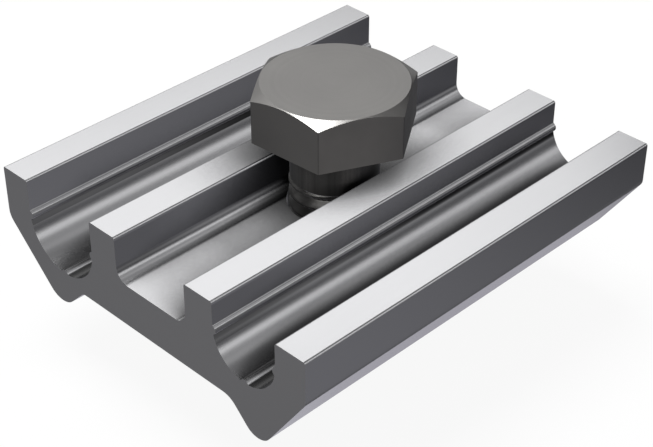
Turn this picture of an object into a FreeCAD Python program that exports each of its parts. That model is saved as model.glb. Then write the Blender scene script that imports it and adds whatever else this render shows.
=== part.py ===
import FreeCAD, Part

import math
import os

from FreeCAD import Vector

# Grounding clamp for a solar mounting rail, in millimetres.
# X runs across the extruded body, Y along it, Z up towards the bolt head.
# The origin is on the bolt axis, in the plane of the four rib tops, where the rail seats.

# Clamp body, one aluminium extrusion
body_length = 52.0
body_height = 13.44
rib_width = 4.0
edge_round = 0.25            # long edges of the rib tops

channel_width = 10.6         # bolt channel, centred on the bolt axis
channel_depth = 5.2
channel_round = 1.6
web_thickness = 5.26         # between the channel floor and the nut recess

# Conductor grooves, open at the top, with half-round bottoms
big_wire = 10.0
big_wire_play = 0.5
big_groove_depth = 9.3
small_wire = 8.0
small_wire_play = 0.7
small_groove_depth = 7.4

# Gripping ridges, one along each groove wall and one along its bottom
ridge_round = 0.55
ridge_height = 0.4
ridge_root_round = 0.15
big_ridge_depth = 4.35
small_ridge_depth = 3.4

# Two feet below the grooves, each a rounded corner between two slopes
left_foot_reach = 15.57      # from the bolt axis to the middle of the round
left_foot_round = 2.56
left_outer_slope = 45.0
left_shoulder_round = 1.8
left_recess_round = 1.0
right_foot_reach = 15.24
right_foot_round = 2.05
right_outer_slope = 55.8
right_shoulder_round = 1.2
right_recess_round = 2.4
recess_slope = 45.0          # both inner sides of the nut recess

# Hexagon head bolt, head up, its shank through the channel floor
thread_diameter = 10.0
thread_pitch = 1.5           # one turn of the nut draws the bolt down this far
hole_play = 0.5              # on the diameter, between the thread and the hole
head_across_flats = 16.0
head_height = 5.77
head_flat_diameter = 15.8    # the flat circle inside the chamfer
head_chamfer = 30.0
head_turn = 4.1              # turn of the first corner from the X axis
head_lift = 3.83             # room for the rail's lips between the ribs and the head
neck_diameter = 9.75
neck_length = 5.5
neck_round = 0.4
bolt_length = 25.0
thread_depth = 0.6134 * thread_pitch

# Flange nut below the body, in the recess between the feet
nut_across_flats = 15.0
nut_height = 10.0
nut_chamfer = 30.0
nut_thread_gap = 0.05        # radial, between the plain shank and the plain bore
nut_seat_gap = 0.02          # between the flange and the recess ceiling
nut_bore_chamfer = 0.6
flange_diameter = 21.8
flange_seat_diameter = 20.0
flange_bevel = 0.4
flange_rim = 1.2             # height of the flange's edge below the bevel
flange_slope = 25.0

channel_half = channel_width / 2
inner_rib_side = channel_half + rib_width
big_groove_width = big_wire + big_wire_play
small_groove_width = small_wire + small_wire_play
big_groove_middle = -(inner_rib_side + big_groove_width / 2)
small_groove_middle = inner_rib_side + small_groove_width / 2
left_wall = big_groove_middle - big_groove_width / 2 - rib_width
right_wall = small_groove_middle + small_groove_width / 2 + rib_width
channel_floor = -channel_depth
recess_ceiling = channel_floor - web_thickness
hole_diameter = thread_diameter + hole_play


def save(shape, name):
    os.makedirs("parts", exist_ok=True)
    shape.exportStep("parts/" + name + ".step")


def rounded_outline(corners):
    """corners is a closed list of (x, z, round); round 0 keeps a sharp corner"""
    count = len(corners)
    bends = []
    for i, (x, z, radius) in enumerate(corners):
        here = Vector(x, 0, z)
        back = Vector(corners[i - 1][0], 0, corners[i - 1][1]) - here
        ahead = Vector(corners[(i + 1) % count][0], 0, corners[(i + 1) % count][1]) - here
        back.normalize()
        ahead.normalize()
        half_angle = back.getAngle(ahead) / 2
        reach = radius / math.tan(half_angle)
        middle = back + ahead
        middle.normalize()
        depth = radius / math.sin(half_angle) - radius
        bends.append((here + back * reach, here + middle * depth, here + ahead * reach))
    edges = []
    for i, (start, middle, end) in enumerate(bends):
        following = bends[(i + 1) % count][0]
        if start.distanceToPoint(end) > 1e-6:
            edges.append(Part.Arc(start, middle, end).toShape())
        if end.distanceToPoint(following) > 1e-6:
            edges.append(Part.makeLine(end, following))
    return Part.Wire(edges)


def foot_corners(side, wall, reach, radius, outer_slope, shoulder_round, recess_round):
    """the shoulder, the tip and the recess corner of one foot; side is -1 on the left and 1 on the right"""
    outer = math.radians(outer_slope)
    inner = math.radians(recess_slope)
    middle_z = radius - body_height
    # Distances are counted outwards from the bolt axis. Both slopes touch the foot's round.
    out_offset = radius / math.cos(outer)
    in_offset = radius / math.cos(inner)
    shoulder_z = middle_z - out_offset + math.tan(outer) * (abs(wall) - reach)
    recess_out = reach - (recess_ceiling - middle_z + in_offset) / math.tan(inner)
    tip_out = reach + (out_offset - in_offset) / (math.tan(outer) + math.tan(inner))
    tip_z = middle_z - out_offset + math.tan(outer) * (tip_out - reach)
    return [
        (wall, shoulder_z, shoulder_round),
        (side * tip_out, tip_z, radius),
        (side * recess_out, recess_ceiling, recess_round),
    ]


def body_corners():
    left = foot_corners(
        -1, left_wall, left_foot_reach, left_foot_round,
        left_outer_slope, left_shoulder_round, left_recess_round,
    )
    right = foot_corners(
        1, right_wall, right_foot_reach, right_foot_round,
        right_outer_slope, right_shoulder_round, right_recess_round,
    )
    corners = [(left_wall, 0, edge_round)] + left + right[::-1] + [(right_wall, 0, edge_round)]
    # The top is followed back from right to left, down and up each hollow.
    hollows = [
        (small_groove_middle, small_groove_width, small_groove_depth, small_groove_width / 2),
        (0, channel_width, channel_depth, channel_round),
        (big_groove_middle, big_groove_width, big_groove_depth, big_groove_width / 2),
    ]
    for middle, width, depth, bottom_round in hollows:
        corners += [
            (middle + width / 2, 0, edge_round),
            (middle + width / 2, -depth, bottom_round),
            (middle - width / 2, -depth, bottom_round),
            (middle - width / 2, 0, edge_round),
        ]
    return corners


def cylinder_along(point, radius):
    return Part.makeCylinder(radius, body_length, point, Vector(0, 1, 0))


def touching(a, a_reach, b, b_reach):
    """the two points that lie a_reach from a and b_reach from b"""
    apart = b - a
    distance = apart.Length
    along = (a_reach ** 2 - b_reach ** 2 + distance ** 2) / (2 * distance)
    off = math.sqrt(a_reach ** 2 - along ** 2)
    apart.normalize()
    across = apart.cross(Vector(0, 1, 0))
    return [a + apart * along + across * off, a + apart * along - across * off]


def ridge(middle, arc_middle, arc_radius):
    """a half-round ridge about its middle, with a small root round on each side towards the groove"""
    reach = ridge_round + ridge_root_round
    roots = []
    for root in touching(arc_middle, arc_radius - ridge_root_round, middle, reach):
        outward = (root - arc_middle).normalize()
        if root.z > arc_middle.z:
            # Above the half round the groove's side is a plain wall.
            outward = Vector(math.copysign(1, root.x - arc_middle.x), 0, 0)
            root = Vector(arc_middle.x + outward.x * (arc_radius - ridge_root_round), root.y, 0)
            root.z = middle.z + math.sqrt(reach ** 2 - (root.x - middle.x) ** 2)
        roots.append((root, outward))
    (first, first_outward), (second, second_outward) = roots
    corners = [
        middle,
        first,
        first + first_outward * ridge_round,
        second + second_outward * ridge_round,
        second,
        middle,
    ]
    block = Part.Face(Part.makePolygon(corners)).extrude(Vector(0, body_length, 0))
    rooted = block.cut([cylinder_along(root, ridge_root_round) for root, outward in roots])
    return [rooted, cylinder_along(middle, ridge_round)]


def groove_ridges(groove_middle, width, depth, ridge_depth):
    """the three ridges of one groove, each sunk so that it stands out by the ridge height"""
    sink = ridge_round - ridge_height
    radius = width / 2
    start_y = -body_length / 2
    arc_middle = Vector(groove_middle, start_y, radius - depth)
    below = max(0.0, ridge_depth - (depth - radius))
    wall = math.sqrt(radius ** 2 - below ** 2) + sink
    middles = [
        Vector(groove_middle - wall, start_y, -ridge_depth),
        Vector(groove_middle + wall, start_y, -ridge_depth),
        Vector(groove_middle, start_y, -depth - sink),
    ]
    return [piece for middle in middles for piece in ridge(middle, arc_middle, radius)]


def clamp_body():
    outline = rounded_outline(body_corners())
    outline.translate(Vector(0, -body_length / 2, 0))
    body = Part.Face(outline).extrude(Vector(0, body_length, 0))
    ridges = groove_ridges(big_groove_middle, big_groove_width, big_groove_depth, big_ridge_depth)
    ridges += groove_ridges(small_groove_middle, small_groove_width, small_groove_depth, small_ridge_depth)
    body = body.fuse(ridges).removeSplitter()
    hole = Part.makeCylinder(hole_diameter / 2, body_height, Vector(0, 0, -body_height))
    return body.cut(hole)


def hexagon(across_flats, turn, base, height):
    corner = across_flats / math.sqrt(3)
    points = []
    for i in range(7):
        angle = math.radians(turn + 60 * i)
        points.append(Vector(corner * math.cos(angle), corner * math.sin(angle), base))
    return Part.Face(Part.makePolygon(points)).extrude(Vector(0, 0, height))


def turned(profile):
    """a solid of revolution about the Z axis; profile is a closed list of (radius, z)"""
    points = [Vector(radius, 0, z) for radius, z in profile]
    face = Part.Face(Part.makePolygon(points + points[:1]))
    return face.revolve(Vector(0, 0, 0), Vector(0, 0, 1), 360)


def hex_bolt():
    seat = head_lift
    top = seat + head_height
    corner = head_across_flats / math.sqrt(3)
    flat = head_flat_diameter / 2
    drop = (corner - flat) * math.tan(math.radians(head_chamfer))
    blank = turned([(0, seat), (corner, seat), (corner, top - drop), (flat, top), (0, top)])
    head = hexagon(head_across_flats, head_turn, seat, head_height).common(blank)
    neck = neck_diameter / 2
    thread = thread_diameter / 2
    neck_end = seat - neck_length
    end = seat - bolt_length
    taper = thread - neck
    shank = turned([
        (0, seat),
        (neck, seat),
        (neck, neck_end),
        (thread, neck_end - taper),
        (thread, end + thread_depth),
        (thread - thread_depth, end),
        (0, end),
    ])
    bolt = head.fuse(shank).removeSplitter()
    under_head = [
        edge for edge in bolt.Edges
        if isinstance(edge.Curve, Part.Circle)
        and abs(edge.Curve.Radius - neck) < 1e-4
        and abs(edge.Curve.Center.z - seat) < 1e-4
    ]
    return bolt.makeFillet(neck_round, under_head)


def flange_nut():
    seat = recess_ceiling - nut_seat_gap
    end = seat - nut_height
    bore = thread_diameter / 2 + nut_thread_gap
    mouth = bore + nut_bore_chamfer
    corner = nut_across_flats / math.sqrt(3)
    flat = nut_across_flats / 2
    drop = (corner - flat) * math.tan(math.radians(nut_chamfer))
    blank = turned([(0, seat), (corner, seat), (corner, end + drop), (flat, end), (0, end)])
    prism = hexagon(nut_across_flats, 0, end, nut_height).common(blank)
    rim = flange_diameter / 2
    rim_end = seat - flange_bevel - flange_rim
    slope_end = rim_end - (rim - flat) * math.tan(math.radians(flange_slope))
    flange = turned([
        (0, seat),
        (flange_seat_diameter / 2, seat),
        (rim, seat - flange_bevel),
        (rim, rim_end),
        (flat, slope_end),
        (0, slope_end),
    ])
    hole = turned([
        (0, seat),
        (mouth, seat),
        (bore, seat - nut_bore_chamfer),
        (bore, end + nut_bore_chamfer),
        (mouth, end),
        (0, end),
    ])
    return prism.fuse(flange).removeSplitter().cut(hole)


save(clamp_body(), "clamp_body")
save(hex_bolt(), "hex_bolt")
save(flange_nut(), "flange_nut")
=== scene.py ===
import math

import bpy
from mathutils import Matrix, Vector


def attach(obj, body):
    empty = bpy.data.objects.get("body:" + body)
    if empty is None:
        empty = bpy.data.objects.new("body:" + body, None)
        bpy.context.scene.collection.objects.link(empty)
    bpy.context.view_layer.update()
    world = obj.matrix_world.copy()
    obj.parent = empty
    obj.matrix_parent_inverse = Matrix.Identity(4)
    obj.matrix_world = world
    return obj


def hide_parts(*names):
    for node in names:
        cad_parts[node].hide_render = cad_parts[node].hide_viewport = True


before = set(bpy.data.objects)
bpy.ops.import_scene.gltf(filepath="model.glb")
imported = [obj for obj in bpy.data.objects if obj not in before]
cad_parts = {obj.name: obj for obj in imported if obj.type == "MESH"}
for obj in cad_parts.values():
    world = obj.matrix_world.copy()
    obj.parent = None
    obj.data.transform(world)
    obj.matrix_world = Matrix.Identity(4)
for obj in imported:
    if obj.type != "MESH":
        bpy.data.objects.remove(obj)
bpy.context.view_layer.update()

mm = 0.001


# Camera, at the photograph's viewing angle
cameraSetup = {
    "location": (102.67 * mm, -103.94 * mm, 94.74 * mm),
    "tilt": 54.736,       # degrees up from looking straight down
    "turn": 45.0,         # degrees about Z
    "lens": 89.64,
    "sensor": 36.0,
    "clip": (0.01, 20),
}


def addCamera(setup):
    data = bpy.data.cameras.new("productCamera")
    data.lens = setup["lens"]
    data.sensor_width = setup["sensor"]
    data.clip_start, data.clip_end = setup["clip"]
    camera = bpy.data.objects.new("productCamera", data)
    camera.location = setup["location"]
    camera.rotation_euler = (math.radians(setup["tilt"]), 0, math.radians(setup["turn"]))
    bpy.context.scene.collection.objects.link(camera)
    bpy.context.scene.camera = camera
    print("camera placed")


addCamera(cameraSetup)


# Small helpers for shader nodes
def newNode(tree, kind, **values):
    node = tree.nodes.new(kind)
    for name, value in values.items():
        setattr(node, name, value)
    return node


def link(tree, source, target):
    tree.links.new(source, target)


def mathNode(tree, operation, first, second=None):
    node = newNode(tree, "ShaderNodeMath", operation=operation)
    for socket, value in zip(node.inputs, (first, second)):
        if value is None:
            continue
        if isinstance(value, (int, float)):
            socket.default_value = value
        else:
            link(tree, value, socket)
    return node.outputs[0]


def oneLess(tree, value):
    return mathNode(tree, "SUBTRACT", 1.0, value)


def product(tree, value, factors):
    for factor in factors:
        value = mathNode(tree, "MULTIPLY", value, factor)
    return value


def band(tree, value, low, high):
    above = mathNode(tree, "GREATER_THAN", value, low)
    return mathNode(tree, "MULTIPLY", above, mathNode(tree, "LESS_THAN", value, high))


def softStep(tree, value, edges, results):
    node = newNode(tree, "ShaderNodeMapRange", interpolation_type="SMOOTHSTEP")
    link(tree, value, node.inputs["Value"])
    node.inputs["From Min"].default_value, node.inputs["From Max"].default_value = edges
    node.inputs["To Min"].default_value, node.inputs["To Max"].default_value = results
    return node.outputs["Result"]


def ranged(tree, value, low, high):
    node = newNode(tree, "ShaderNodeMapRange")
    link(tree, value, node.inputs["Value"])
    node.inputs["To Min"].default_value = low
    node.inputs["To Max"].default_value = high
    return node.outputs["Result"]


def axes(tree, vector):
    node = newNode(tree, "ShaderNodeSeparateXYZ")
    link(tree, vector, node.inputs[0])
    return node.outputs


def scaled(tree, vector, factor):
    node = newNode(tree, "ShaderNodeVectorMath", operation="SCALE")
    link(tree, vector, node.inputs[0])
    link(tree, factor, node.inputs["Scale"])
    return node.outputs[0]


def mixedColour(tree, factor, first, second):
    node = newNode(tree, "ShaderNodeMix", data_type="RGBA")
    link(tree, factor, node.inputs["Factor"])
    for socket, colour in ((node.inputs[6], first), (node.inputs[7], second)):
        if isinstance(colour, tuple):
            socket.default_value = (*colour, 1)
        else:
            link(tree, colour, socket)
    return node.outputs[2]


def mixedValue(tree, factor, first, second):
    node = newNode(tree, "ShaderNodeMix", data_type="FLOAT")
    link(tree, factor, node.inputs["Factor"])
    link(tree, first, node.inputs[2])
    link(tree, second, node.inputs[3])
    return node.outputs[0]


def mixedShader(tree, factor, first, second):
    node = newNode(tree, "ShaderNodeMixShader")
    for socket, source in zip(node.inputs, (factor, first, second)):
        link(tree, source, socket)
    return node.outputs[0]


def newMaterial(name):
    material = bpy.data.materials.new(name)
    material.use_nodes = True
    material.node_tree.nodes.clear()
    return material


def newGroup(name, sockets):
    group = bpy.data.node_groups.new(name, "ShaderNodeTree")
    for label, way, kind in sockets:
        group.interface.new_socket(label, in_out=way, socket_type=kind)
    return group, newNode(group, "NodeGroupInput"), newNode(group, "NodeGroupOutput")


# Fine scratches along one axis, for drawn, ground and turned surfaces
scratchLook = {
    "lineDetail": 4.0,
    "lineRoughness": 0.65,
    "patchDetail": 2.0,
}


def buildScratchGroup(look):
    group, start, end = newGroup("fineScratches", (
        ("Vector", "INPUT", "NodeSocketVector"),
        ("Stretch", "INPUT", "NodeSocketVector"),
        ("Coarse", "INPUT", "NodeSocketFloat"),
        ("Lines", "OUTPUT", "NodeSocketFloat"),
        ("Patches", "OUTPUT", "NodeSocketFloat"),
    ))
    stretched = newNode(group, "ShaderNodeVectorMath", operation="MULTIPLY")
    link(group, start.outputs["Vector"], stretched.inputs[0])
    link(group, start.outputs["Stretch"], stretched.inputs[1])
    lines = newNode(group, "ShaderNodeTexNoise")
    lines.inputs["Scale"].default_value = 1.0      # the stretch alone sets their size
    lines.inputs["Detail"].default_value = look["lineDetail"]
    lines.inputs["Roughness"].default_value = look["lineRoughness"]
    link(group, stretched.outputs[0], lines.inputs["Vector"])
    patches = newNode(group, "ShaderNodeTexNoise")
    patches.inputs["Detail"].default_value = look["patchDetail"]
    link(group, start.outputs["Vector"], patches.inputs["Vector"])
    link(group, start.outputs["Coarse"], patches.inputs["Scale"])
    link(group, lines.outputs["Fac"], end.inputs["Lines"])
    link(group, patches.outputs["Fac"], end.inputs["Patches"])
    return group


# Painted shade in dark corners, where the walls or the bolt stand close
cornerShade = {
    "reach": 13 * mm,
    "lean": (0.8, -0.38, 0.55),     # towards the open side that the soft light comes from
    "samples": 24,
    "levelFrom": 0.75,      # normal's Z from which a face counts as level
    "gains": (1.6, 1.164),      # of an upright face and of a level one
    "power": 4.0,
    "creaseReach": 2.0 * mm,
    "creaseRange": (0.48, 0.8),
    "creaseDark": 0.05,
    "easedFacing": (0.3, 0.75),      # normal's Z from where to where a face looks up
    "creaseEased": 0.75,      # share of the crease's shade that such faces are spared
}


def buildShadeGroup(look):
    group, start, end = newGroup("cornerShade", (
        ("Strength", "INPUT", "NodeSocketFloat"),
        ("Curved", "INPUT", "NodeSocketFloat"),
        ("Shade", "OUTPUT", "NodeSocketFloat"),
    ))
    place = newNode(group, "ShaderNodeNewGeometry")
    leaning = newNode(group, "ShaderNodeVectorMath", operation="ADD")
    link(group, place.outputs["Normal"], leaning.inputs[0])
    leaning.inputs[1].default_value = look["lean"]
    unit = newNode(group, "ShaderNodeVectorMath", operation="NORMALIZE")
    link(group, leaning.outputs[0], unit.inputs[0])
    near = newNode(group, "ShaderNodeAmbientOcclusion", samples=look["samples"])
    near.inputs["Distance"].default_value = look["reach"]
    link(group, unit.outputs[0], near.inputs["Normal"])
    facing = axes(group, place.outputs["Normal"])
    level = newNode(group, "ShaderNodeMapRange")
    link(group, facing["Z"], level.inputs["Value"])
    level.inputs["From Min"].default_value = look["levelFrom"]
    level.inputs["To Min"].default_value, level.inputs["To Max"].default_value = look["gains"]
    # curved faces take less shade than flat ones
    rise = mathNode(group, "MAXIMUM", facing["Z"], 0.0)
    rest = oneLess(group, rise)
    eased = product(group, rise, (rest, rest, start.outputs["Curved"]))
    lit = newNode(group, "ShaderNodeMath", operation="MULTIPLY", use_clamp=True)
    link(group, near.outputs["AO"], lit.inputs[0])
    link(group, mathNode(group, "ADD", level.outputs["Result"], eased), lit.inputs[1])
    covered = oneLess(group, mathNode(group, "POWER", lit.outputs[0], look["power"]))
    unshaded = oneLess(group, mathNode(group, "MULTIPLY", covered, start.outputs["Strength"]))
    # painted shade in creases is darker still, less so where they look up
    crease = newNode(group, "ShaderNodeAmbientOcclusion", samples=look["samples"] // 2)
    crease.inputs["Distance"].default_value = look["creaseReach"]
    kept = softStep(group, crease.outputs["AO"], look["creaseRange"], (look["creaseDark"], 1.0))
    spared = softStep(group, facing["Z"], look["easedFacing"], (0.0, look["creaseEased"]))
    lost = mathNode(group, "MULTIPLY", oneLess(group, kept), oneLess(group, spared))
    link(group, mathNode(group, "MULTIPLY", unshaded, oneLess(group, lost)), end.inputs["Shade"])
    return group


scratchGroup = buildScratchGroup(scratchLook)
shadeGroup = buildShadeGroup(cornerShade)


# What the metals share
bumpDepth = 0.02 * mm


def metalSurface(tree):
    out = newNode(tree, "ShaderNodeOutputMaterial")
    surface = newNode(tree, "ShaderNodeBsdfPrincipled")
    surface.inputs["Metallic"].default_value = 1.0
    link(tree, surface.outputs[0], out.inputs["Surface"])
    return surface


def addScratches(tree, vector, stretch, coarse):
    node = newNode(tree, "ShaderNodeGroup", node_tree=scratchGroup)
    link(tree, vector, node.inputs["Vector"])
    node.inputs["Stretch"].default_value = stretch
    node.inputs["Coarse"].default_value = coarse
    return node


# painted corner shade: scales a colour down where walls or the bolt stand close
def shaded(tree, colour, strength, curved):
    near = newNode(tree, "ShaderNodeGroup", node_tree=shadeGroup)
    near.inputs["Strength"].default_value = strength
    near.inputs["Curved"].default_value = curved      # how much less shade a sloping face takes
    return scaled(tree, colour, near.outputs["Shade"])


def addBump(tree, surface, height, strength):
    bump = newNode(tree, "ShaderNodeBump")
    bump.inputs["Strength"].default_value = strength
    bump.inputs["Distance"].default_value = bumpDepth
    link(tree, height, bump.inputs["Height"])
    link(tree, bump.outputs[0], surface.inputs["Normal"])


# Extruded aluminium: "Facing" values are limits of the normal's Z
aluminiumFinish = {
    "dark": (0.595, 0.595, 0.605),
    "light": (0.635, 0.635, 0.645),
    "sawn": (0.52, 0.52, 0.53),
    "square": 0.9,      # part of the normal along an axis from which a face counts as square to it
    "roughness": (0.2, 0.25),
    "sawnRoughness": (0.36, 0.48),
    "dieStretch": (2600, 9, 2600),
    "patchScale": 55,
    "dieBump": 0.04,
    "shade": 1.0,
    "curved": 7.5,
    "sawStretch": (60, 1, 2400),
    "sawBump": 0.12,
    # painted highlight on the rounds along the ribs' tops, and a painted dark line above them
    "edgeDepth": -0.4 * mm,
    "edgeFacing": (0.25, 0.78, 0.985),
    "edgeBright": 1.4,
    "edgeDarkLine": 0.7,
    # painted shade on the bottoms of the conductor grooves
    "grooveDepth": -5.5 * mm,
    "grooveFacing": (0.69, 0.97),
    "grooveDark": 0.45,
    # painted shade on the grooves' right halves, from here down
    "farSide": (-5.3 * mm, -7.2 * mm),
    "farSideTurned": 0.04,      # their normal's X lies below this
    "farSideFacing": 0.1,
    "farSideDark": 0.9,
    # a painted dark line under each groove's upper ridge
    "lineFacing": (0.3, 0.36),
    "lineTurned": 0.12,      # its normal's X lies above this
    "lineDepth": -3.62 * mm,
    "lineEnd": -5.6 * mm,
    "leftDrop": -0.83 * mm,      # the left groove's ridge lies this much lower
    "leftGroove": -7 * mm,      # and the left groove left of this
    "outerRib": 12 * mm,
    "lineAlong": (-20 * mm, 8 * mm),
    "lineDark": (0.4, 0.93),
    # painted light on the channel's floor and its rounds, which take less of the bolt's painted shade
    "channelHalf": 5.35 * mm,
    "floorDepth": (-5.3 * mm, -3.5 * mm),
    "floorFacing": (0.55, 0.95),
    "floorMiddle": 3 * mm,
    "floorReach": (10.5 * mm, 17.5 * mm),
    "floorGain": 0.62,
    # painted shade on the front ends of the two inner walls that the camera sees
    "innerWalls": (-7 * mm, 12 * mm),
    "wallNear": (-23 * mm, -12 * mm),
    "wallDark": 0.3,
}


# painted highlight on the ribs' top rounds, and painted shade in the line above them
def paintedEdgeLight(tree, look, place, facing):
    low, middle, high = look["edgeFacing"]
    rim = mathNode(tree, "GREATER_THAN", place["Z"], look["edgeDepth"])
    highlighted = mathNode(tree, "MULTIPLY", rim, band(tree, facing["Z"], low, middle))
    darkLine = mathNode(tree, "MULTIPLY", rim, band(tree, facing["Z"], middle, high))
    gain = mathNode(tree, "MULTIPLY", highlighted, look["edgeBright"] - 1.0)
    loss = mathNode(tree, "MULTIPLY", darkLine, look["edgeDarkLine"] - 1.0)
    return mathNode(tree, "ADD", 1.0, mathNode(tree, "ADD", gain, loss))


# painted shade and painted light, placed on the body by position and facing
def placedShade(tree, look, place, facing):
    fromMiddle = mathNode(tree, "ABSOLUTE", place["X"])
    bottom = product(tree, softStep(tree, facing["Z"], look["grooveFacing"], (0.0, look["grooveDark"])), (
        mathNode(tree, "LESS_THAN", place["Z"], look["grooveDepth"]),
    ))
    # painted shade on the grooves' right halves
    farSide = product(tree, softStep(tree, place["Z"], look["farSide"], (0.0, look["farSideDark"])), (
        mathNode(tree, "LESS_THAN", facing["X"], look["farSideTurned"]),
        mathNode(tree, "GREATER_THAN", facing["Z"], look["farSideFacing"]),
    ))
    # painted dark line under each groove's upper ridge
    inLeft = mathNode(tree, "LESS_THAN", place["X"], look["leftGroove"])
    lineStart = mathNode(tree, "ADD", mathNode(tree, "MULTIPLY", inLeft, look["leftDrop"]), look["lineDepth"])
    line = product(tree, softStep(tree, facing["Z"], look["lineFacing"], (1.0, 0.0)), (
        band(tree, place["Z"], look["lineEnd"], lineStart),
        mathNode(tree, "GREATER_THAN", fromMiddle, look["channelHalf"]),
        mathNode(tree, "LESS_THAN", place["X"], look["outerRib"]),
        mathNode(tree, "GREATER_THAN", facing["X"], look["lineTurned"]),
        softStep(tree, place["Y"], look["lineAlong"], look["lineDark"]),
    ))
    # painted shade on the front ends of the inner walls
    wall = product(tree, softStep(tree, place["Y"], look["wallNear"], (look["wallDark"], 0.0)), (
        band(tree, place["X"], *look["innerWalls"]),
        mathNode(tree, "GREATER_THAN", facing["X"], look["square"]),
        mathNode(tree, "LESS_THAN", place["Z"], look["edgeDepth"]),
    ))
    # painted light on the channel floor, lifting the painted shade near the bolt
    fromBolt = mathNode(tree, "ABSOLUTE", mathNode(tree, "SUBTRACT", place["Y"], look["floorMiddle"]))
    paintedFloorLight = product(tree, softStep(tree, fromBolt, look["floorReach"], (look["floorGain"], 0.0)), (
        band(tree, place["Z"], *look["floorDepth"]),
        mathNode(tree, "LESS_THAN", fromMiddle, look["channelHalf"]),
        softStep(tree, facing["Z"], look["floorFacing"], (0.0, 1.0)),
    ))
    light = mathNode(tree, "ADD", 1.0, paintedFloorLight)
    return product(tree, light, [oneLess(tree, dark) for dark in (bottom, farSide, line, wall)])


def makeAluminium(look):
    material = newMaterial("extrudedAluminium")
    tree = material.node_tree
    surface = metalSurface(tree)
    where = newNode(tree, "ShaderNodeTexCoord")
    place = axes(tree, where.outputs["Object"])
    facing = axes(tree, where.outputs["Normal"])
    die = addScratches(tree, where.outputs["Object"], look["dieStretch"], look["patchScale"])
    saw = addScratches(tree, where.outputs["Object"], look["sawStretch"], look["patchScale"])
    sawn = mathNode(tree, "GREATER_THAN", mathNode(tree, "ABSOLUTE", facing["Y"]), look["square"])
    drawn = mixedColour(tree, die.outputs["Patches"], look["dark"], look["light"])
    plain = mixedColour(tree, sawn, drawn, look["sawn"])
    # painted edge highlight, painted shade and light by position, and painted corner shade all scale the base
    # colour
    edgeLight = paintedEdgeLight(tree, look, place, facing)
    light = mathNode(tree, "MULTIPLY", edgeLight, placedShade(tree, look, place, facing))
    finished = shaded(tree, scaled(tree, plain, light), look["shade"], look["curved"])
    link(tree, finished, surface.inputs["Base Color"])
    dieRough = ranged(tree, die.outputs["Lines"], *look["roughness"])
    sawRough = ranged(tree, saw.outputs["Lines"], *look["sawnRoughness"])
    link(tree, mixedValue(tree, sawn, dieRough, sawRough), surface.inputs["Roughness"])
    dieMarks = mathNode(tree, "MULTIPLY", die.outputs["Lines"], look["dieBump"])
    sawMarks = mathNode(tree, "MULTIPLY", saw.outputs["Lines"], look["sawBump"])
    addBump(tree, surface, mixedValue(tree, sawn, dieMarks, sawMarks), 1.0)
    return material


# Steel of the bolt and of the nut
boltFinish = {
    "dark": (0.2, 0.195, 0.19),
    "light": (0.25, 0.245, 0.235),
    "roughness": (0.3, 0.42),
    "stretch": (500, 500, 500),
    "patchScale": 120,
    "bump": 0.05,
    "shade": 0.85,
    "curved": 0.5,
    "turnedScale": 2200,
    "turned": (0.97, 1.03),
    "turnedFacing": 0.95,
    "neck": {
        "radius": 5.3 * mm,
        "range": (-3.5 * mm, 2.75 * mm),      # the plain neck is drawn, with streaks down it
        "stretch": (1500, 1500, 30),
        "streaks": (0.45, 1.55),
        "below": -0.42,      # painted shade: the thread under the neck is darker by this share
    },
}
nutFinish = {
    "dark": (0.4, 0.4, 0.42),
    "light": (0.52, 0.52, 0.55),
    "roughness": (0.24, 0.38),
    "stretch": (700, 700, 700),
    "patchScale": 420,
    "bump": 0.04,
    "shade": 0.35,
    "curved": 0.5,
    "turnedScale": 1800,
    "turned": (0.96, 1.04),
    "turnedFacing": 0.95,
    "neck": None,
}


def neckMarksAndShade(tree, look, vector, patchScale, height, radius):
    low, high = look["range"]
    marks = addScratches(tree, vector, look["stretch"], patchScale)
    streaks = mathNode(tree, "SUBTRACT", ranged(tree, marks.outputs["Lines"], *look["streaks"]), 1.0)
    drawn = mathNode(tree, "MULTIPLY", band(tree, height, low, high), streaks)
    # painted shade: the thread below the neck is darker
    thread = mathNode(tree, "MULTIPLY", mathNode(tree, "LESS_THAN", height, low), look["below"])
    inShank = mathNode(tree, "LESS_THAN", radius, look["radius"])
    return mathNode(tree, "MULTIPLY", inShank, mathNode(tree, "ADD", drawn, thread))


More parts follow.
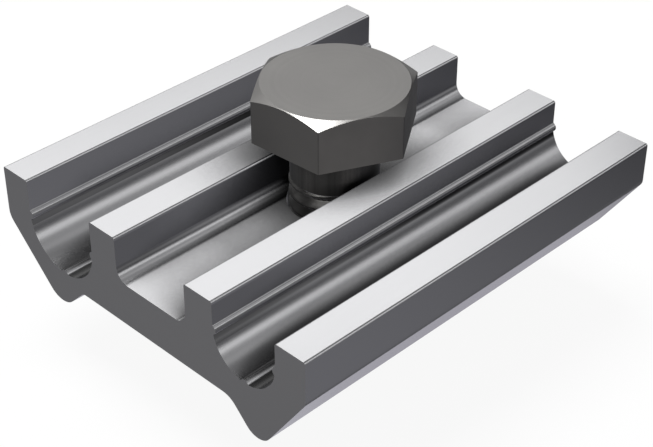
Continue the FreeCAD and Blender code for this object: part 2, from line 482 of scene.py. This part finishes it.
def makeSteel(name, look):
    material = newMaterial(name)
    tree = material.node_tree
    surface = metalSurface(tree)
    where = newNode(tree, "ShaderNodeTexCoord")
    place = axes(tree, where.outputs["Object"])
    facing = axes(tree, where.outputs["Normal"])
    grain = addScratches(tree, where.outputs["Object"], look["stretch"], look["patchScale"])
    plain = mixedColour(tree, grain.outputs["Patches"], look["dark"], look["light"])
    across = newNode(tree, "ShaderNodeCombineXYZ")
    link(tree, place["X"], across.inputs["X"])
    link(tree, place["Y"], across.inputs["Y"])
    away = newNode(tree, "ShaderNodeVectorMath", operation="LENGTH")
    link(tree, across.outputs[0], away.inputs[0])
    radius = away.outputs["Value"]
    # faint rings from turning on the faces across the axis
    ring = newNode(tree, "ShaderNodeTexNoise", noise_dimensions="1D")
    ring.inputs["Scale"].default_value = look["turnedScale"]
    link(tree, radius, ring.inputs["W"])
    flat = mathNode(tree, "GREATER_THAN", mathNode(tree, "ABSOLUTE", facing["Z"]), look["turnedFacing"])
    rings = mathNode(tree, "SUBTRACT", ranged(tree, ring.outputs["Fac"], *look["turned"]), 1.0)
    change = mathNode(tree, "MULTIPLY", flat, rings)
    # streaks down the neck, and painted shade on the thread below it
    if look["neck"]:
        marks = neckMarksAndShade(tree, look["neck"], where.outputs["Object"], look["patchScale"], place["Z"], radius)
        change = mathNode(tree, "ADD", change, marks)
    marked = scaled(tree, plain, mathNode(tree, "ADD", 1.0, change))
    # painted corner shade on the steel's base colour
    link(tree, shaded(tree, marked, look["shade"], look["curved"]), surface.inputs["Base Color"])
    link(tree, ranged(tree, grain.outputs["Lines"], *look["roughness"]), surface.inputs["Roughness"])
    addBump(tree, surface, grain.outputs["Lines"], look["bump"])
    return material


aluminium = makeAluminium(aluminiumFinish)
boltSteel = makeSteel("boltSteel", boltFinish)
nutSteel = makeSteel("nutSteel", nutFinish)


def dress(node, material):
    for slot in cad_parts[node].material_slots:
        slot.material = material
    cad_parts[node].visible_glossy = False


dress("clamp_body", aluminium)
dress("hex_bolt", boltSteel)
dress("flange_nut", nutSteel)
print("materials made")


# Modelling helpers; shapes are in millimetres
weldGap = 0.0005 * mm      # points nearer than this become one
cutGap = 0.0001 * mm
uprightGap = 0.001 * mm
cornerSegments = 3
capSteps = 192
smoothAngle = 28


def deselectAll():
    if bpy.context.object and bpy.context.object.mode != "OBJECT":
        bpy.ops.object.mode_set(mode="OBJECT")
    bpy.ops.object.select_all(action="DESELECT")


def named(name):
    piece = bpy.context.object
    piece.name = name
    piece.data.name = name
    bpy.ops.object.transform_apply(location=True, rotation=True, scale=True)
    return piece


def makeActive(piece):
    deselectAll()
    bpy.context.view_layer.objects.active = piece
    piece.select_set(True)


def selectUprightEdges(piece):
    makeActive(piece)
    bpy.ops.object.mode_set(mode="EDIT")
    bpy.ops.mesh.select_mode(type="EDGE")
    bpy.ops.mesh.select_all(action="DESELECT")
    bpy.ops.object.mode_set(mode="OBJECT")
    mesh = piece.data
    for edge in mesh.edges:
        first, second = (mesh.vertices[i].co for i in edge.vertices)
        edge.select = (first.xy - second.xy).length < uprightGap
    bpy.ops.object.mode_set(mode="EDIT")


def tidyMesh():
    bpy.ops.mesh.select_all(action="SELECT")
    bpy.ops.mesh.remove_doubles(threshold=weldGap)
    bpy.ops.mesh.normals_make_consistent(inside=False)


def drawLine(name, points):
    corners = [Vector((radius * mm, 0, height * mm)) for radius, height in points]
    deselectAll()
    bpy.ops.mesh.primitive_plane_add(size=mm, location=corners[0])
    line = named(name)
    bpy.ops.object.mode_set(mode="EDIT")
    bpy.ops.mesh.select_mode(type="VERT")
    bpy.ops.mesh.select_all(action="SELECT")
    bpy.ops.mesh.merge(type="CENTER")
    for here, ahead in zip(corners, corners[1:]):
        bpy.ops.mesh.extrude_region_move(TRANSFORM_OT_translate={"value": ahead - here})
    bpy.ops.object.mode_set(mode="OBJECT")
    return line


def turnedPiece(name, points, steps):
    piece = drawLine(name, points)
    bpy.ops.object.mode_set(mode="EDIT")
    bpy.ops.mesh.select_all(action="SELECT")
    bpy.ops.mesh.spin(steps=steps, angle=math.tau, center=(0, 0, 0), axis=(0, 0, 1))
    tidyMesh()
    bpy.ops.object.mode_set(mode="OBJECT")
    return piece


def helicalPiece(name, points, form, turns, top, bottom):
    piece = drawLine(name, points)
    screw = piece.modifiers.new("thread", "SCREW")
    screw.screw_offset = form["pitch"] * mm
    screw.iterations = turns
    screw.steps = form["steps"]
    screw.render_steps = form["steps"]
    screw.use_merge_vertices = True
    screw.merge_threshold = weldGap
    bpy.ops.object.modifier_apply(modifier=screw.name)
    bpy.ops.object.mode_set(mode="EDIT")
    for height, outward in ((top, 1), (bottom, -1)):
        bpy.ops.mesh.select_all(action="SELECT")
        bpy.ops.mesh.bisect(
            plane_co=(0, 0, height * mm), plane_no=(0, 0, outward),
            use_fill=True, clear_outer=True, threshold=cutGap,
        )
    tidyMesh()
    bpy.ops.object.mode_set(mode="OBJECT")
    return piece


def hexagonPiece(name, shape, base, top):
    corner = shape["acrossFlats"] / math.sqrt(3)
    deselectAll()
    middle = (base + top) / 2
    bpy.ops.mesh.primitive_cylinder_add(
        vertices=6, radius=corner * mm, depth=(top - base) * mm, location=(0, 0, middle * mm)
    )
    piece = named(name)
    bpy.ops.object.mode_set(mode="EDIT")
    bpy.ops.mesh.select_all(action="SELECT")
    turn = math.radians(30 - shape["turn"])      # 30 degrees bring a flat to where a corner was
    bpy.ops.transform.rotate(value=turn, orient_axis="Z", center_override=(0, 0, 0))
    selectUprightEdges(piece)
    bpy.ops.mesh.bevel(offset=shape["cornerSoft"] * mm, segments=cornerSegments, affect="EDGES")
    bpy.ops.object.mode_set(mode="OBJECT")
    return piece


def combine(piece, other, operation):
    makeActive(piece)
    joint = piece.modifiers.new("combine", "BOOLEAN")
    joint.operation = operation
    joint.object = other
    joint.solver = "EXACT"
    bpy.ops.object.modifier_apply(modifier=joint.name)
    bpy.data.objects.remove(other, do_unlink=True)


def finishPiece(piece, material):
    makeActive(piece)
    bpy.ops.object.shade_smooth_by_angle(angle=math.radians(smoothAngle))
    piece.data.materials.clear()
    piece.data.materials.append(material)
    piece.visible_glossy = False


# Thread shared by the bolt and the nut: right-hand, one turn draws the bolt down by the pitch
threadForm = {
    "crestRadius": 5.0,
    "rootRadius": 4.08,
    "pitch": 1.5,
    "crestHalf": 0.094,      # half of the crest's width, and of the root's below
    "rootHalf": 0.125,
    "crestRound": 0.05,
    "roundRise": 0.58,       # share of that round by which the flank starts wider than the crest
    "roundDrop": 0.4,        # and by which the round leaves the crest narrower
    "phase": -1.7375,        # height of a crest over the X axis
    "steps": 96,
    "nutGap": 0.05,          # the nut's thread stands this far outside the bolt's
}


def threadLine(form, gap, turnsBelow):
    half = form["pitch"] / 2
    middle = form["phase"] - form["pitch"] * turnsBelow
    crest, root, soft = form["crestRadius"], form["rootRadius"], form["crestRound"]
    offsets = [
        (root, half),
        (root, half - form["rootHalf"]),
        (crest - soft, form["crestHalf"] + soft * form["roundRise"]),
        (crest, form["crestHalf"] - soft * form["roundDrop"]),
    ]
    below = [(radius + gap, middle - rise) for radius, rise in offsets]
    above = [(radius + gap, middle + rise) for radius, rise in reversed(offsets)]
    return below + above


def chamferCap(shape, level, away):
    # a closed outline whose sloping side trims the hexagon's corners at this level
    flat, wide = shape["flatRadius"], shape["capRadius"]
    rise = (wide - flat) * math.tan(math.radians(shape["chamfer"]))
    inward = 1 if away < level else -1
    return [(0, away), (wide, away), (wide, level - inward * rise), (flat, level), (0, level)]


# Hexagon head bolt, head up
boltShape = {
    "seat": 3.83,             # underside of the head
    "top": 9.60,
    "acrossFlats": 16.0,
    "turn": 4.1,
    "cornerSoft": 0.1,
    "blankOver": 0.8,         # the hexagon goes this far past the top before its chamfer is cut
    "flatRadius": 7.9,
    "chamfer": 30,
    "capRadius": 9.6,
    "capEnd": 2.5,
    "inHead": 0.6,            # the neck goes this far into the head
    "neckRadius": 4.875,
    "neckEnd": -1.67,
    "neckRound": 0.4,
    # that round's points, as shares of it outwards and downwards
    "roundPoints": ((1, 0), (0.617, 0.076), (0.293, 0.293), (0.076, 0.617), (0, 1)),
    "neckSteps": 120,         # not the thread's own steps, so that the two joined meshes share no edge
    "neckTip": (4.0, 0.88),   # radius and depth under the neck of the cone that ends it inside the shank
    "shankTop": -1.0,
    "runout": ((0, 0.37), (4.7, 0.37), (4.8, -0.05)),      # radius, and height over the neck's end
    "runoutLength": 0.73,
    "trimClear": 0.4,
    "end": -21.17,
    "endOver": 0.83,          # the thread goes this far past the end before it is trimmed
    "endChamfer": 1.0,
    "turnsBelow": 14,
    "turns": 17,
}


def makeBolt(shape, form):
    crest, seat, end, neckEnd = form["crestRadius"], shape["seat"], shape["end"], shape["neckEnd"]
    shank = helicalPiece(
        "boltShank", threadLine(form, 0, shape["turnsBelow"]), form, shape["turns"],
        shape["shankTop"], end - shape["endOver"],
    )
    wide = crest + shape["trimClear"]
    trim = turnedPiece("boltTrim", [
        *((radius, neckEnd + rise) for radius, rise in shape["runout"]),
        (wide, neckEnd - shape["runoutLength"]),
        (wide, end + shape["endChamfer"] + shape["trimClear"]),
        (crest - shape["endChamfer"], end),
        (0, end),
    ], form["steps"])
    combine(shank, trim, "INTERSECT")
    neckRadius, bend = shape["neckRadius"], shape["neckRound"]
    tipRadius, tipDepth = shape["neckTip"]
    neck = turnedPiece("boltNeck", [
        (0, seat + shape["inHead"]),
        (neckRadius + bend, seat + shape["inHead"]),
        *((neckRadius + bend * out, seat - bend * down) for out, down in shape["roundPoints"]),
        (neckRadius, neckEnd),
        (tipRadius, neckEnd - tipDepth),
        (0, neckEnd - tipDepth),
    ], shape["neckSteps"])
    combine(shank, neck, "UNION")
    bolt = hexagonPiece("boltPiece", shape, seat, shape["top"] + shape["blankOver"])
    cap = turnedPiece("boltCap", chamferCap(shape, shape["top"], shape["capEnd"]), capSteps)
    combine(bolt, cap, "INTERSECT")
    combine(bolt, shank, "UNION")
    finishPiece(bolt, boltSteel)
    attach(bolt, "bolt")
    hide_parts("hex_bolt")
    print("bolt made:", len(bolt.data.polygons), "faces")


# Flange nut under the web
nutShape = {
    "seat": -10.48,           # the flange's face against the web
    "end": -20.48,
    "acrossFlats": 15.0,
    "turn": 0,
    "cornerSoft": 0.12,
    "blankOver": 0.8,         # the hexagon goes this far past the end before its chamfer is cut
    "inFlange": 0.7,          # and this far short of the seat
    "flatRadius": 7.4,
    "chamfer": 30,
    "capRadius": 9.2,
    "seatRadius": 10.0,
    "rimRadius": 10.9,
    "rimBevel": 0.4,
    "rimFace": (0.25, 0.4),   # inset of the bevel's middle point, and its share of the depth
    "rimHeight": 1.2,
    "rimRound": ((0, 0.15), (0.06, 0), (0.2, -0.12)),      # inset, and height over the rim's end
    "flangeSlope": 25,
    "coneRadius": 7.2,
    "coneRun": 3.5,           # from the rim's round in to that radius
    "flangeSteps": 128,
    "boreOver": (0.9, 0.55),  # the bore is cut this far past the seat and past the end
    "mouthRadius": 5.65,
    "mouthInside": 0.3,       # the mouths' cones end this far inside the thread's root
    "mouthOver": 1.0,
    "turnsBelow": 14,
    "turns": 11,
}


def makeNut(shape, form):
    seat, end, rim = shape["seat"], shape["end"], shape["rimRadius"]
    nut = hexagonPiece("nutPiece", shape, end - shape["blankOver"], seat - shape["inFlange"])
    cap = turnedPiece("nutCap", chamferCap(shape, end, seat), capSteps)
    combine(nut, cap, "INTERSECT")
    rimEnd = seat - shape["rimBevel"] - shape["rimHeight"]
    faceInset, faceShare = shape["rimFace"]
    slope = math.tan(math.radians(shape["flangeSlope"]))
    coneEnd = rimEnd + shape["rimRound"][-1][1] - shape["coneRun"] * slope
    flange = turnedPiece("nutFlange", [
        (0, seat),
        (shape["seatRadius"], seat),
        (rim - faceInset, seat - shape["rimBevel"] * faceShare),
        (rim, seat - shape["rimBevel"]),
        *((rim - inset, rimEnd + rise) for inset, rise in shape["rimRound"]),
        (shape["coneRadius"], coneEnd),
        (0, coneEnd),
    ], shape["flangeSteps"])
    combine(nut, flange, "UNION")
    overSeat, overEnd = shape["boreOver"]
    bore = helicalPiece(
        "nutBore", threadLine(form, form["nutGap"], shape["turnsBelow"]), form, shape["turns"],
        seat + overSeat, end - overEnd,
    )
    combine(nut, bore, "DIFFERENCE")
    mouth = shape["mouthRadius"]
    inner = form["rootRadius"] - shape["mouthInside"]
    for level, outward in ((seat, 1), (end, -1)):
        away = level + outward * shape["mouthOver"]
        tip = level - outward * (mouth - inner)
        funnel = turnedPiece("nutMouth", [
            (0, away),
            (mouth + shape["mouthOver"], away),
            (inner, tip),
            (0, tip),
        ], form["steps"])
        combine(nut, funnel, "DIFFERENCE")
    finishPiece(nut, nutSteel)
    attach(nut, "nut")
    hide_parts("flange_nut")
    print("nut made:", len(nut.data.polygons), "faces")


makeBolt(boltShape, threadForm)
makeNut(nutShape, threadForm)


# Pale floor and plain studio light
studio = {
    "floorHeight": -21.3 * mm,
    "floorSize": 6.0,
    "floorColour": (0.7, 0.7, 0.7),
    "cameraWhite": 0.92,      # share of plain white in what the camera sees of the floor
    "around": (0.1, 0.1, 0.105),      # the room in the metal
    "diffuse": 0.3,
}

paleParts = [
    # the room's paler and darker parts in the metal: direction, edge and core as cosines, colour
    ((-0.413, 0.492, -0.766), 0.935, 0.985, (0.47, 0.46, 0.515)),      # the slope, lower right
    ((0.58, 0.334, -0.743), 0.88, 0.985, (0.1, 0.1, 0.112)),
    ((-0.7, -0.38, -0.6), 0.9, 1.0, (0.095, 0.095, 0.095)),      # the sawn end
    ((-0.324, -0.803, -0.5), 0.93, 0.99, (0.19, 0.185, 0.185)),      # the head's left side
    ((0.8, -0.17, -0.577), 0.92, 0.99, (0.32, 0.31, 0.31)),      # the head's right side
    ((0.797, 0.58, -0.165), 0.972, 0.992, (0.2, 0.2, 0.2)),      # the grooves' upper arcs
    ((0.552, 0.76, -0.342), 0.966, 0.99, (-0.1, -0.1, -0.1)),
    ((-0.654, 0.458, 0.602), 0.93, 0.985, (0.34, 0.34, 0.34)),      # the rib tops, far part
    ((0.22, 0.604, 0.766), 0.9, 0.98, (0.2, 0.2, 0.2)),      # the chamfer's right part
    ((-0.457, 0.629, 0.629), 0.991, 0.9985, (0.13, 0.13, 0.13)),
    ((-0.381, 0.747, 0.545), 0.989, 0.998, (0.24, 0.24, 0.24)),
    ((-0.55, 0.68, 0.485), 0.995, 0.9992, (-0.13, -0.13, -0.13)),
    ((-0.865, 0.045, 0.5), 0.9, 0.99, (0.3, 0.3, 0.3)),      # the chamfer's left part
    ((0.32, -0.754, -0.574), 0.92, 0.985, (0.15, 0.15, 0.15)),
    ((0.814, 0.47, 0.342), 0.981, 0.997, (0.24, 0.24, 0.24)),      # the grooves near the front
    ((-0.399, 0.591, -0.701), 0.992, 0.9995, (-0.15, -0.15, -0.16)),
    ((-0.35, -0.9, 0.3), 0.62, 0.92, (0.2, 0.2, 0.205)),
]

lamps = [
    # name, direction in degrees (round from +X, up), distance, width, height, radiance
    ("backPanel", 158.5, 39, 0.9, 1.14, 0.31, 0.96),
    ("backLow", 140, 8, 0.9, 1.0, 0.3, 0.8),
    ("sideLamp", 40, 23, 0.9, 0.7, 0.22, 0.64),
    ("sidePanel", 40, 42, 0.9, 0.6, 0.36, 0.25),
    ("overheadLamp", -165, 76, 0.7, 0.42, 0.37, 13.0),
    ("frontPanel", -45, 28, 1.1, 1.1, 0.7, 0.5),
]


def seenDirectly(tree, path):
    return mathNode(tree, "MAXIMUM", path.outputs["Is Camera Ray"], path.outputs["Is Transmission Ray"])


def addFloor(setup):
    deselectAll()
    bpy.ops.mesh.primitive_plane_add(size=setup["floorSize"], location=(0, 0, setup["floorHeight"]))
    floor = bpy.context.object
    floor.name = "paleFloor"
    material = newMaterial("paleFloor")
    tree = material.node_tree
    out = newNode(tree, "ShaderNodeOutputMaterial")
    paper = newNode(tree, "ShaderNodeBsdfDiffuse")
    paper.inputs["Color"].default_value = (*setup["floorColour"], 1)
    white = newNode(tree, "ShaderNodeEmission")
    clear = newNode(tree, "ShaderNodeBsdfTransparent")
    path = newNode(tree, "ShaderNodeLightPath")
    side = newNode(tree, "ShaderNodeNewGeometry")
    # the metal mirrors the room's light behind the floor
    mirrored = mixedShader(tree, path.outputs["Is Glossy Ray"], paper.outputs[0], clear.outputs[0])
    whitened = mathNode(tree, "MULTIPLY", seenDirectly(tree, path), setup["cameraWhite"])
    above = mixedShader(tree, whitened, mirrored, white.outputs[0])
    # clear from below
    final = mixedShader(tree, side.outputs["Backfacing"], above, clear.outputs[0])
    link(tree, final, out.inputs["Surface"])
    floor.data.materials.append(material)


def addLamp(name, turn, rise, distance, width, height, radiance):
    data = bpy.data.lights.new(name, "AREA")
    data.shape = "RECTANGLE"
    data.size = width
    data.size_y = height
    data.energy = radiance * math.pi * width * height
    lamp = bpy.data.objects.new(name, data)
    flat = math.cos(math.radians(rise))
    turned = math.radians(turn)
    toward = Vector((flat * math.cos(turned), flat * math.sin(turned), math.sin(math.radians(rise))))
    lamp.location = toward * distance
    lamp.rotation_euler = toward.to_track_quat("Z", "Y").to_euler()
    lamp.visible_camera = False
    bpy.context.scene.collection.objects.link(lamp)


def addWorld(setup, parts):
    world = bpy.data.worlds.new("studioWorld")
    bpy.context.scene.world = world
    world.use_nodes = True
    tree = world.node_tree
    tree.nodes.clear()
    out = newNode(tree, "ShaderNodeOutputWorld")
    light = newNode(tree, "ShaderNodeBackground")
    path = newNode(tree, "ShaderNodeLightPath")
    where = newNode(tree, "ShaderNodeTexCoord")
    plainRoom = newNode(tree, "ShaderNodeCombineXYZ")
    for socket, value in zip(plainRoom.inputs, setup["around"]):
        socket.default_value = value
    room = plainRoom.outputs[0]
    for direction, edge, core, colour in parts:
        aim = newNode(tree, "ShaderNodeVectorMath", operation="DOT_PRODUCT")
        link(tree, where.outputs["Object"], aim.inputs[0])
        aim.inputs[1].default_value = Vector(direction).normalized()
        added = newNode(tree, "ShaderNodeVectorMath", operation="MULTIPLY_ADD")
        link(tree, softStep(tree, aim.outputs["Value"], (edge, core), (0.0, 1.0)), added.inputs[0])
        added.inputs[1].default_value = colour
        link(tree, room, added.inputs[2])
        room = added.outputs[0]
    unsigned = newNode(tree, "ShaderNodeVectorMath", operation="MAXIMUM")      # no light below zero
    link(tree, room, unsigned.inputs[0])
    mirrored = scaled(tree, unsigned.outputs[0], path.outputs["Is Glossy Ray"])
    rest = mathNode(tree, "MULTIPLY", path.outputs["Is Diffuse Ray"], setup["diffuse"])
    total = newNode(tree, "ShaderNodeVectorMath", operation="ADD")
    link(tree, mirrored, total.inputs[0])
    link(tree, mathNode(tree, "MAXIMUM", seenDirectly(tree, path), rest), total.inputs[1])
    link(tree, total.outputs[0], light.inputs["Color"])
    link(tree, light.outputs[0], out.inputs["Surface"])


addFloor(studio)
for lampValues in lamps:
    addLamp(*lampValues)
addWorld(studio, paleParts)
bpy.context.scene.view_settings.view_transform = "Standard"
print("studio set")
